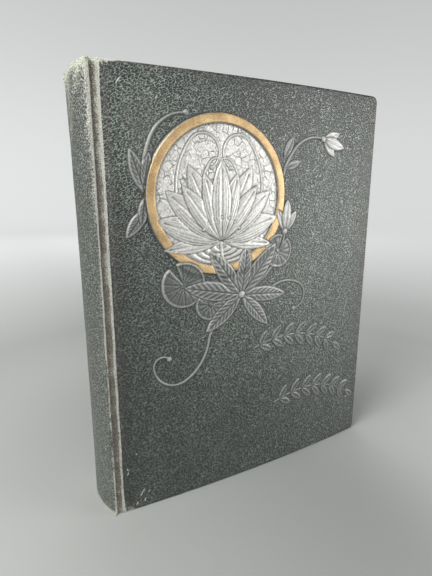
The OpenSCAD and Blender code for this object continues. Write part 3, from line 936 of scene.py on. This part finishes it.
def finish_cover(piece, side, with_relief):
    """Presses the relief and the valley beside the rib, marks the wear, and bows the sheet into place."""
    mesh = piece.data
    u, depth, z = places_of(mesh).T
    on_face = np.abs(depth) < FACE_DEPTH
    valley = VALLEY_DEPTH * near(u - VALLEY_U, 1.25) * on_face
    fields = {"silver": silver, "recess": recess, "crest": crest, "pressed": pressed, "scuff": scuffed}
    on_relief = on_face & with_relief
    depth = depth - on_relief * map_value(relief, u, z)
    values = {name: on_relief * map_value(field, u, z) for name, field in fields.items()}
    ring_distance = np.hypot(u - RING_CENTRE[0], z - RING_CENTRE[1])
    flat_ground = np.clip((RING_R - RING_W - ring_distance) / 0.5, 0, 1) * (values["pressed"] < 0.5)
    values["ground"] = on_relief * flat_ground
    head, tail, fore = ALBUM_H - z, z, COVER_W - u
    from_edge = np.minimum(np.minimum(head, tail), fore)
    rim = np.clip(1 - from_edge / EDGE_R, 0, 1)
    outer = np.clip(1 - depth / 3.0, 0, 1)
    corner = near(np.hypot(np.minimum(head, tail), fore), 7.0)
    rib_crest = near(u + 0.7, 0.6) * (depth < 1.6)
    rib_rub = 0.46 + 0.2 * z / ALBUM_H + waves(z, 7, (83, 37, 19, 8), (0.06, 0.05, 0.05, 0.04))
    values["rub"] = np.clip(0.22 * rim * outer + 0.4 * corner * rim + rib_rub * rib_crest
                            + 0.15 + 0.3 * near(np.hypot(u, tail), 9)
                            + 0.05 * near(np.hypot(u - 18, tail - 14), 22)
                            + 0.3 * near(np.hypot(u, head), 8)
                            + 0.3 * near(head, 1.6) * np.clip(1.1 - u / 24, 0, 1)
                            + 0.62 * values["scuff"], 0, 1)
    values["brown"] = np.clip(near(head, 1.8) * np.clip(1.2 - u / 45, 0, 1)
                              + 0.7 * near(u - VALLEY_U, 1.7) * on_face * z / ALBUM_H
                              + 0.5 * rim + 0.4 * near(fore, 11), 0, 1)
    # Painted sheen and shade, with a little dust: the cover is lighter over its middle and towards the head
    # at the left, and darker at its edges and lower left
    across = (u - 110) / np.where(u < 110, 75, 110)
    up = (z - 165) / np.where(z < 165, 85, 60)
    values["dust_and_sheen"] = np.clip(0.5 + 0.15 * u / COVER_W + 0.54 * near(np.hypot(across, up), 1)
                             + 0.75 * near(np.hypot((u - 20) / 35, (z - 250) / 50), 1)
                             + 0.16 * near(np.hypot((u - 190) / 40, (z - 225) / 45), 1)
                             - 0.2 * fading(np.hypot(fore, tail), 22)
                             - 0.2 * fading(fore, 8) - 0.25 * fading(head, 7)
                             - 0.2 * near(u - 3, 5), 0.2, 1.4)
    set_attributes(mesh, 0, 1.4, **values)
    put_places(mesh, on_cover(u, depth + valley, z, side))
    if side > 0:
        mesh.flip_normals()
    mesh.shade_smooth()


front_leather = cover_sheet("front_leather", cover_leather)
refine(front_leather.data, np.maximum(pressed, (recess > 0.02) | (scuffed > 0.1)))
finish_cover(front_leather, -1, True)
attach(front_leather, "front_cover")
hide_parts("front_cover_leather")

back_leather = cover_sheet("back_leather", cover_leather)
finish_cover(back_leather, 1, False)
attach(back_leather, "back_cover")
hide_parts("back_cover_leather")


# Gilding: gold leaf over size on the ring's raised band, laid by hand and since rubbed and speckled.

GILT_W = 5.2
GILT_T = 0.2
GILT_STEPS = 10
GILT_SIDES = 720


def gilding_material():
    """Leaf gold, cloudy and speckled, and rubbed at its edges."""
    shader, material = new_material("gilding", {"Metallic": 0.55})
    place = object_place(shader)
    speckle = noise(place, 1500.0, 4.0, 0.7)
    gold = mixed(spread(noise(place, 110.0), 0.3, 0.7), (0.52, 0.35, 0.175), (0.8, 0.57, 0.3))
    gold = mixed(spread(speckle, 0.55, 0.7), gold, (0.9, 0.75, 0.45))
    gold = mixed(spread(speckle, 0.46, 0.3), gold, (0.22, 0.14, 0.075))
    worn = placed(wear_group, place, Rub=attribute_of(shader, "rub"), Patches=700.0)["Worn"]
    feed(shader, {"Base Color": mixed(worn, gold, (0.2, 0.15, 0.09)),
                  "Roughness": spread(speckle, 0.3, 0.7, 0.38, 0.55)})
    bump(shader, speckle, 0.1 * MM)
    return material


def gold_band():
    """A ring drawn out of a circle, crowned, and laid on the band of the bowed cover."""
    inner = BAND_R - GILT_W / 2
    bpy.ops.mesh.primitive_circle_add(vertices=GILT_SIDES, radius=inner)
    piece = made("gold_band", gilding_material())
    with edit_mode():
        for step in range(GILT_STEPS):
            growth = (inner + GILT_W * (step + 1) / GILT_STEPS) / (inner + GILT_W * step / GILT_STEPS)
            bpy.ops.mesh.extrude_region_move()
            bpy.ops.transform.resize(value=(growth, growth, 1))
        turn_outwards()
    mesh = piece.data
    flat = places_of(mesh)
    d = np.hypot(flat[:, 0], flat[:, 1])
    share = (d - inner) / GILT_W * 2 - 1
    around = np.arctan2(flat[:, 1], flat[:, 0])
    ragged = 0.05 * np.sin(around * 37) + 0.05 * np.sin(around * 83 + 2)
    grown = 1 + np.where(np.abs(share) > 0.99, ragged / d, 0)
    crown = 0.12 * (1 - share ** 2) - 0.1 * np.abs(share) ** 8
    u, z = RING_CENTRE[0] + flat[:, 0] * grown, RING_CENTRE[1] + flat[:, 1] * grown
    set_attributes(mesh, 0, 1, rub=0.3 * np.abs(share) ** 3)
    hidden = 1.1 * np.clip(map_value(over_band, u, z) * 2 - 0.4, 0, 1)
    put_places(mesh, on_cover(u, -(RING_HEIGHT + GILT_T + crown - hidden), z, -1))
    apply_modifier(piece, "SOLIDIFY", thickness=-GILT_T * 1.3 * MM, offset=1.0)
    piece.data.shade_smooth()
    return piece


gilt = gold_band()
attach(gilt, "front_cover")
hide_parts("gilt_ring")


# Spine: a thinner, finer-grained piece of leather, rounded over its card from rib to rib. Its ribs are worn
# to the cream core along their length, and its head and tail are frayed.

SPINE_ROUND = 5.0
SPINE_T = 1.1
JOINT_W = 6.5
GROOVE_DEPTH = 1.6
GROOVE_T = 0.8
SPINE_CELL_Z = 1.4
GROOVE_RUN = 3.0
TEAR_DEPTH = 5.0
BLOOM_REACH = 3.5
HALF_T = -FRONT_Y
OUTER_RIB_X = RIB_X - JOINT_W
SPINE_R = (HALF_T ** 2 + SPINE_ROUND ** 2) / (2 * SPINE_ROUND)
SPINE_CX = OUTER_RIB_X - SPINE_ROUND + SPINE_R

spine_leather = leather_material("spine_leather", (0.043, 0.051, 0.045), (0.39, 0.424, 0.374), 640.0,
                                 0.2 * MM, 1000.0)


def spine_profile():
    """The spine's outer face in plan, from the foot of the front groove to that of the back one."""
    groove_y = FRONT_Y + GROOVE_DEPTH
    foot = [(OUTER_RIB_X + RIB_R, groove_y + GROOVE_T), (OUTER_RIB_X + RIB_R, groove_y)]
    rib = [(OUTER_RIB_X + RIB_R * math.cos(a), FRONT_Y + RIB_R - RIB_R * math.sin(a))
           for a in np.radians(np.arange(0, 226, 15.0))]
    arc = [(SPINE_CX - math.sqrt(SPINE_R ** 2 - y * y), y) for y in np.linspace(rib[-1][1] + 0.9, 0, 34)]
    half = foot + rib + arc
    return np.array(half + [(x, -y) for x, y in half[-2::-1]])


def profile_wear(profile):
    """How near each point of the profile is to the crest of a rib, first closely and then loosely."""
    x, y = profile.T
    d = np.hypot(x - OUTER_RIB_X - 0.5, HALF_T - np.abs(y))
    return near(d, 1.15), near(d, 3.2)


def worn_away(y):
    """How far down the head has torn, more towards the back of the spine."""
    return TEAR_DEPTH * np.clip((y - FRONT_Y - 2.0) / 26, 0, 1)


def spine_covering():
    """The spine's leather: its profile drawn up the album, torn at the head, dented and rubbed, with painted
    light that makes it lighter towards the head.
    """
    profile = spine_profile()
    run = np.concatenate([[0], np.cumsum(np.hypot(*np.diff(profile, axis=0).T))])
    edge_rows = np.array([0, 0.35, 0.8, 1.4, 2.1])
    rows = np.linspace(3.2, ALBUM_H - 3.2, round(ALBUM_H / SPINE_CELL_Z) - 2)
    rows = np.concatenate([edge_rows, rows, ALBUM_H - edge_rows[::-1]])
    piece, column, row = indexed_grid("spine_covering", spine_leather, profile, rows)
    mesh = piece.data
    s, z = run[column], rows[row]
    x, y = profile[column].T
    crest, beside = (wear[column] for wear in profile_wear(profile))
    head, tail = ALBUM_H - z, z
    frayed = np.clip(0.5 + waves(s, 3, (9, 4.1, 2.3), (0.35, 0.3, 0.25)), 0, 1.4) * (0.5 + beside)
    z = z - fading(head, 0.8) * frayed - fading(head, 8) * worn_away(y)
    z = z + fading(tail, 0.5) * np.clip(0.25 + waves(s, 4, (7, 3), (0.2, 0.15)), 0, 0.6)
    dent = (waves(z, 5, (61, 23, 9), (0.07, 0.05, 0.04)) * crest
            + 0.05 * waves(z + 3 * s, 6, (40, 17), (1, 0.6)))
    inward = np.stack([SPINE_CX - x, -y], axis=1)
    inward /= np.linalg.norm(inward, axis=1, keepdims=True)
    flare = (1 - beside) * (1.3 * fading(head, 45) + 0.4 * fading(tail, 12))
    shift = np.clip(dent + 0.1, 0, 0.4) - flare
    x, y = x + inward[:, 0] * shift, y + inward[:, 1] * shift
    put_places(mesh, np.stack([x, y, z], axis=1) * MM)
    crest_rub = (0.2 + waves(z, 8, (140, 61, 23, 9), (0.06, 0.06, 0.05, 0.05))
                 + 0.34 * np.clip(z / ALBUM_H, 0, 1) ** 1.6)
    dusted = (0.06 * waves(z + 2 * s, 9, (97, 43, 19), (0.5, 0.5, 0.4))
              + 0.05 * waves(s, 10, (21, 13), (0.6, 0.5)))
    # Painted light: the rub that rises over the upper part, fading(head, 65), lightens the spine towards its
    # head where the window light falls; the rest is wear
    rub = (crest_rub * crest ** 5 + 0.15 * beside + 0.5 * fading(head, 1.6) + near(tail, 2.2)
           + 0.32 * fading(head, 65) + 0.12 * fading(tail, 12) + 0.18 + dusted)
    in_groove = (s < GROOVE_RUN) | (s > run[-1] - GROOVE_RUN)
    set_attributes(mesh, 0, 1, rub=rub, bloom=fading(head, BLOOM_REACH), brown=0.9 * in_groove + 0.1)
    with edit_mode():
        turn_outwards()
    if mesh.polygons[len(mesh.polygons) // 2].normal.x > 0:
        mesh.flip_normals()
    apply_modifier(piece, "SOLIDIFY", thickness=(SPINE_T - 0.15) * MM, offset=-1.0)
    piece.data.shade_smooth()
    return piece


spine = spine_covering()
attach(spine, "binding")
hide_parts("spine_leather")


# Joints: the strip of leather that bends between the ribs. It lies in the groove, brown and crazed with
# bending, and rises on to the cover's rib.

JOINT_STEPS = 24
JOINT_CELL_Z = 2.0
UNDER_RIB = 0.4
joint_leather = leather_material("joint_leather", (0.1, 0.086, 0.068), (0.5, 0.465, 0.395), 1200.0,
                                 0.2 * MM, 1300.0)


def joint_strip(name, side):
    """The strip of one joint, a shallow channel from the spine's rib to the cover's."""
    start, end = OUTER_RIB_X + RIB_R - UNDER_RIB, RIB_X - RIB_R + UNDER_RIB
    rows = round(ALBUM_H / JOINT_CELL_Z)
    piece, share, up = new_grid(name, joint_leather, JOINT_STEPS, rows)
    mesh = piece.data
    x, z = start + (end - start) * share, ALBUM_H * up
    slope = np.clip((share - 0.48) / 0.52, 0, 1)
    rise = 1.34 * slope ** 1.25 + 0.25 * np.clip((0.2 - share) / 0.2, 0, 1) ** 2
    rough = 0.06 * waves(z + 2 * x, 11, (5.3, 2.9), (1, 0.8)) * np.sin(np.pi * share)
    depth = GROOVE_DEPTH - rise + rough + 0.12
    head, tail = ALBUM_H - z, z
    z = z - fading(head, 0.8) * np.clip(0.4 + waves(x, 12, (2.2, 1.1), (0.3, 0.2)), 0, 1)
    put_places(mesh, np.stack([x, -side * (FRONT_Y + depth), z], axis=1) * MM)
    beige = np.clip((share - 0.3) / 0.3, 0, 1)
    rub = (0.3 + 0.2 * beige * z / ALBUM_H + 0.24 * near(share - 0.95, 0.14)
           + waves(z, 13, (71, 31, 12), (0.05, 0.05, 0.04))
           + 0.45 * fading(head, 3.0) + 0.3 * fading(tail, 5.0))
    set_attributes(mesh, 0, 1, rub=rub, bloom=fading(head, BLOOM_REACH),
                   brown=0.95 - beige * (0.45 + 0.5 * z / ALBUM_H))
    if mesh.polygons[0].normal.y * side < 0:
        mesh.flip_normals()
    apply_modifier(piece, "SOLIDIFY", thickness=GROOVE_T * 0.8 * MM, offset=-1.0)
    piece.data.shade_smooth()
    return piece, start * MM, end * MM


for side, which in ((-1, "front"), (1, "back")):
    strip, start_x, end_x = joint_strip(f"{which}_joint_strip", side)
    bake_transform(strip)
    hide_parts(f"{which}_joint_leather")


# Frayed fibres at the head of the spine, where the leather has worn through. They stand out of its torn
# edge, most of them over the ribs.

def fray(name, feet, seed):
    """Short bent fibres that stand out of a torn edge, each a thin cone of four sides."""
    rng = np.random.default_rng(seed)
    bpy.ops.mesh.primitive_cone_add(vertices=4, radius1=0.13, radius2=0.05, depth=1.0)
    first = made(name, spine_leather)
    with edit_mode():
        bpy.ops.mesh.subdivide(number_cuts=2)
    shape = places_of(first.data)
    t = shape[:, 2] + 0.5
    for k, (x, y, z) in enumerate(feet):
        length = rng.uniform(0.6, 1.7)
        lean = rng.normal(0, 0.5, 2)
        fibre = first if k == 0 else first.copy()
        if k:
            fibre.data = first.data.copy()
            bpy.context.collection.objects.link(fibre)
        fibre.select_set(True)
        put_places(fibre.data, MM * np.stack([x + shape[:, 0] + lean[0] * t ** 2 * length,
                                              y + shape[:, 1] + lean[1] * t ** 2 * length,
                                              z - 0.3 + t * length * 0.8], axis=1))
    bpy.ops.object.join()
    set_attributes(first.data, 0, 1, rub=np.ones(len(first.data.vertices)))
    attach(first, "binding")


fray_rng = np.random.default_rng(21)
profile = spine_profile()
crest, beside = profile_wear(profile)
weights = (0.15 + 2.5 * beside) * (profile[:, 1] < 23)
picked = fray_rng.choice(len(profile), 90, p=weights / weights.sum())
spine_feet = [(x + fray_rng.uniform(0.2, 0.8) * np.sign(SPINE_CX - x), 0.985 * y,
               ALBUM_H - 1.0 - worn_away(y)) for x, y in profile[picked]]
fray("spine_head_fray", spine_feet, 22)


# The album stands on a pale table before a pale sheet, in soft light from a window at the upper left and
# from the room at its right.

def round_sheet(name, start, rings):
    """A sheet drawn out of a circle: each ring is a radius and a height."""
    bpy.ops.mesh.primitive_circle_add(vertices=128, radius=start[0], location=(0, 0, start[1]))
    piece = bpy.context.object
    piece.name = piece.data.name = name
    before = start
    with edit_mode():
        for r, z in rings:
            bpy.ops.mesh.extrude_region_move(TRANSFORM_OT_translate={"value": (0, 0, z - before[1])})
            bpy.ops.transform.resize(value=(r / before[0], r / before[0], 1))
            before = (r, z)
    piece.data.shade_smooth()
    return piece


TABLE_R = 2.6
CURVE_R = 1.2
SHEET_TOP = 5.0
CURVE_STEPS = 24
TABLE_NEAR, TABLE_FAR = (0.375, 0.385, 0.375), (0.32, 0.33, 0.325)
GLOW_RIGHT, GLOW_LEFT = (0.645, 0.645, 0.65), (0.72, 0.74, 0.73)
LAMP_FOOT = (0.71, -0.64, 0.0)


def sweep_material():
    """Matt and pale, painted against the lamps' shadows and glare, with a glow that grows with distance and
    sinks up the sheet, seen by the camera and faintly in reflections.
    """
    shader, material = new_material("pale_sweep", {"Roughness": 1.0, "Specular IOR Level": 0.0})
    place = object_place(shader)
    x, _, z = add_node(shader.id_data, "ShaderNodeSeparateXYZ", {0: place}).outputs
    on_table = vectors("MULTIPLY", place, (1, 1, 0))
    away = vectors("LENGTH", on_table, (0, 0, 0), "Value")
    # Painted shade: the table is darker far off, against the far lamp's light there
    colour = mixed(spread(away, 0.3, 1.1), TABLE_NEAR, TABLE_FAR)
    # Painted light: lighter to the left against the room lamp's shadow, and near the right against the
    # window lamp's
    colour = tinted(colour, spread(spread(x, 0.1, -0.2), 0.0, 1.0, 0.98, 1.22))
    painted_light_right = times(spread(x, 0.0, 0.17), spread(away, 0.6, 0.3))
    colour = tinted(colour, spread(painted_light_right, 0.0, 1.0, 1.0, 1.38))
    # Painted shade round the room lamp's foot, against its glare on the table
    colour = tinted(colour, spread(vectors("DISTANCE", on_table, LAMP_FOOT, "Value"), 0.15, 0.7, 0.05, 1.0))
    ray = add_node(shader.id_data, "ShaderNodeLightPath").outputs
    seen = calculate("ADD", ray["Is Camera Ray"], times(ray["Is Glossy Ray"], 0.25), clamp=True)
    past = calculate("MAXIMUM", minus(away, 0.38), 0.0)
    reached = times(minus(1.0, calculate("EXPONENT", times(past, -1.55))), 0.89)
    reached = plus(reached, spread(away, 0.12, 0.27, 0.0, 0.11))
    glow = tinted(mixed(spread(x, 2.6, -0.6), GLOW_RIGHT, GLOW_LEFT), reached)
    feed(shader, {"Base Color": colour, "Emission Strength": seen,
                  "Emission Color": tinted(glow, spread(z, 0.2, 2.1, 1.0, 0.74))})
    return material


turns = [math.pi / 2 * k / CURVE_STEPS for k in range(CURVE_STEPS + 1)]
curve = [(TABLE_R + CURVE_R * math.sin(a), CURVE_R * (1 - math.cos(a))) for a in turns]
table = round_sheet("table", (0.01, 0.0), [(0.1, 0.0), (0.5, 0.0), (TABLE_R, 0.0)])
sheet = round_sheet("sheet", curve[0], curve[1:] + [(TABLE_R + CURVE_R, SHEET_TOP)])
sheet.visible_diffuse = sheet.visible_shadow = False
pale_sweep = sweep_material()
for piece in (table, sheet):
    piece.data.materials.append(pale_sweep)


def lamp(name, place, aim, size, power, colour):
    """A soft square light."""
    data = bpy.data.lights.new(name, "AREA")
    data.size = size
    data.energy = power
    data.color = colour
    light = bpy.data.objects.new(name, data)
    bpy.context.collection.objects.link(light)
    light.location = place
    light.rotation_euler = (Vector(aim) - Vector(place)).to_track_quat("-Z", "Y").to_euler()
    light.visible_camera = False


lamp("window", (-0.57, -0.2, 0.7), (-0.05, 0.0, 0.14), 0.45, 6.8, (1.0, 0.995, 0.98))
lamp("room", (0.8, -0.72, 0.22), (0.0, 0.0, 0.15), 0.56, 7.4, (1.0, 1.0, 0.985))
lamp("far_wall", (0.5, 1.3, 0.9), (0.0, 0.0, 0.14), 1.2, 7.0, (1.0, 1.0, 0.98))

world = bpy.data.worlds.new("pale_room")
bpy.context.scene.world = world
world.use_nodes = True
to_camera = add_node(world.node_tree, "ShaderNodeLightPath").outputs["Is Camera Ray"]
feed(world.node_tree.nodes["Background"], {"Color": (0.93, 0.96, 0.95),
                                           "Strength": spread(to_camera, 0.0, 1.0, 0.18, 0.72)})

# The photograph's view: its frame is 432 by 576, and the focal length is given in its pixels
FRAME_SIZE = (432, 576)
FOCAL_PIXELS = 430.5
CAMERA_PLACE = Vector((-0.16965, -0.2681, 0.2139))
YAW, PITCH, ROLL = (math.radians(a) for a in (29.61, 13.29, 0.14))
camera_data = bpy.data.cameras.new("camera")
camera_data.sensor_fit = "AUTO"
camera_data.sensor_width = 36.0
camera_data.lens = FOCAL_PIXELS * camera_data.sensor_width / FRAME_SIZE[1]
camera_data.clip_start = 0.005
camera = bpy.data.objects.new("camera", camera_data)
bpy.context.collection.objects.link(camera)
camera.location = CAMERA_PLACE
camera.rotation_mode = "XYZ"
camera.rotation_euler = (math.pi / 2 - PITCH, ROLL, -YAW)
bpy.context.scene.camera = camera
bpy.context.scene.view_settings.view_transform = "Standard"
